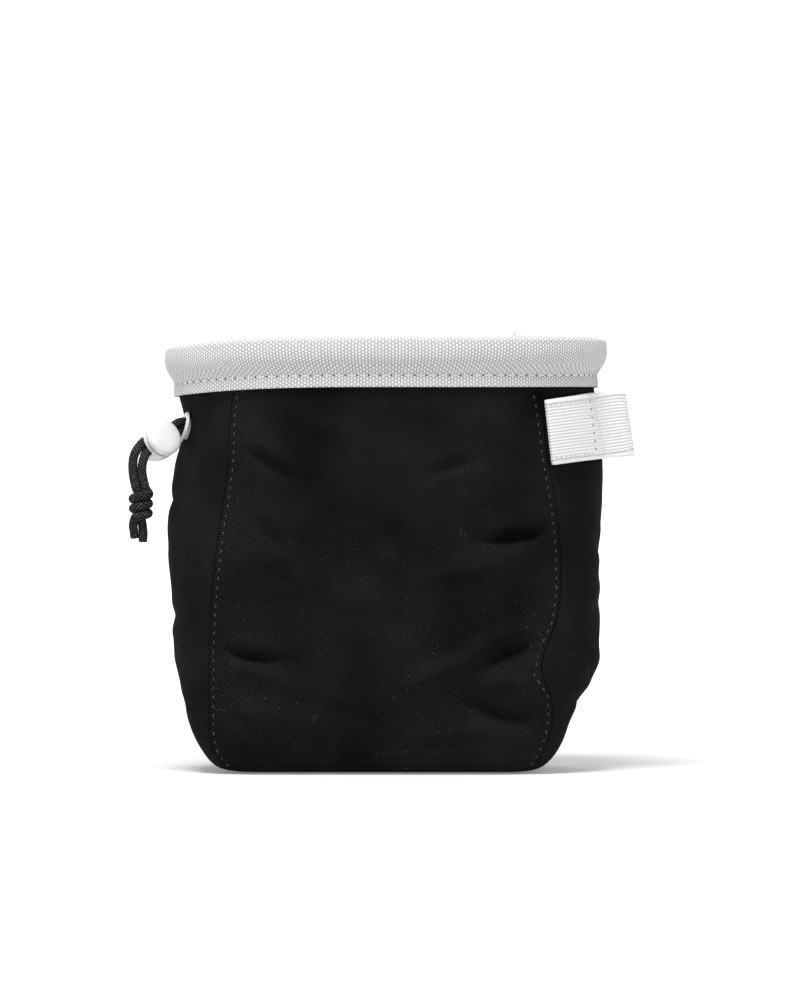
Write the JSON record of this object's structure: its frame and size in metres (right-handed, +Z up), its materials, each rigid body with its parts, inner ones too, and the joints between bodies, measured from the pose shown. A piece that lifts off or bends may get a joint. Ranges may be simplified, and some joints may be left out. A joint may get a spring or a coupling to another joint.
{
  "type": "climbing chalk bag",
  "caption": "Soft oval-mouthed chalk bag with a padded rim, a squared bottom, a brush loop, belt loops and a drawcord with a push-button cord lock.",
  "frame": {"origin": "centre of the flat underside of the bag, on the surface that it stands on", "axes": "+X to the right in front view, -Y towards the viewer of the front panel, +Z up"},
  "size_m": [0.1938, 0.1219, 0.1749],
  "materials": {
    "twill": "matt cotton twill",
    "lining_cloth": "plain matt cloth",
    "rim_cloth": "heavy basket weave",
    "webbing": "ribbed webbing",
    "plastic": "satin moulded plastic",
    "cord": "braided cord"
  },
  "bodies": {
    "bag": {"front_panel": "twill", "back_panel": "twill", "gusset": "twill", "rim_band": "rim_cloth", "drawcord_channel": "lining_cloth", "brush_loop": "webbing", "belt_loop_left": "webbing", "belt_loop_right": "webbing", "eyelet": "plastic", "cord_lock_barrel": "plastic", "drawcord_strand_upper": "cord", "drawcord_strand_lower": "cord", "drawcord_loop": "cord", "cord_knot": "cord"},
    "lock_button": {"cord_lock_plunger": "plastic"}
  },
  "joints": [
    {"name": "lock_press", "type": "slide", "parent": "bag", "child": "lock_button", "axis": [-0.5715, 0.7319, -0.371], "range_m": [0, 0.0012], "stiffness_N_per_m": 300}
  ]
}
